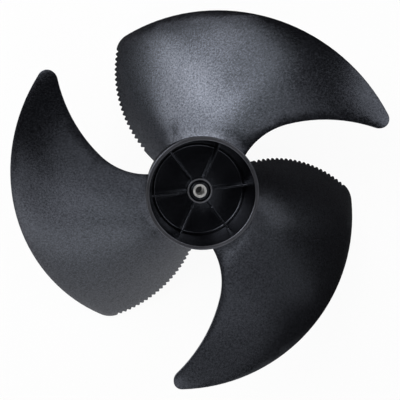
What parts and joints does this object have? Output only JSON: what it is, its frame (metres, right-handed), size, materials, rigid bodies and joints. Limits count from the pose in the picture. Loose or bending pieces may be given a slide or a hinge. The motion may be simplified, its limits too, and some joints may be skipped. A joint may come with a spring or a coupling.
{
  "type": "axial fan impeller",
  "caption": "Moulded axial fan impeller for an outdoor condenser unit: swept blades with saw-toothed trailing edges round an open hub cup with a metal shaft bush.",
  "frame": {"origin": "on the shaft axis, at the middle of the bush's length", "axes": "+Z along the shaft towards the motor, out of the open hub cup; X and Y square to it, with one rib a few degrees round from +X; the fan is driven clockwise seen from +Z"},
  "size_m": [0.3992, 0.4, 0.1382],
  "materials": {
    "black_plastic": "satin black moulding with a fine grain and a soft grey sheen",
    "bush_metal": "turned, bright end face"
  },
  "bodies": {
    "root": {"fan_moulding": "black_plastic", "shaft_bush": "bush_metal"}
  },
  "joints": []
}
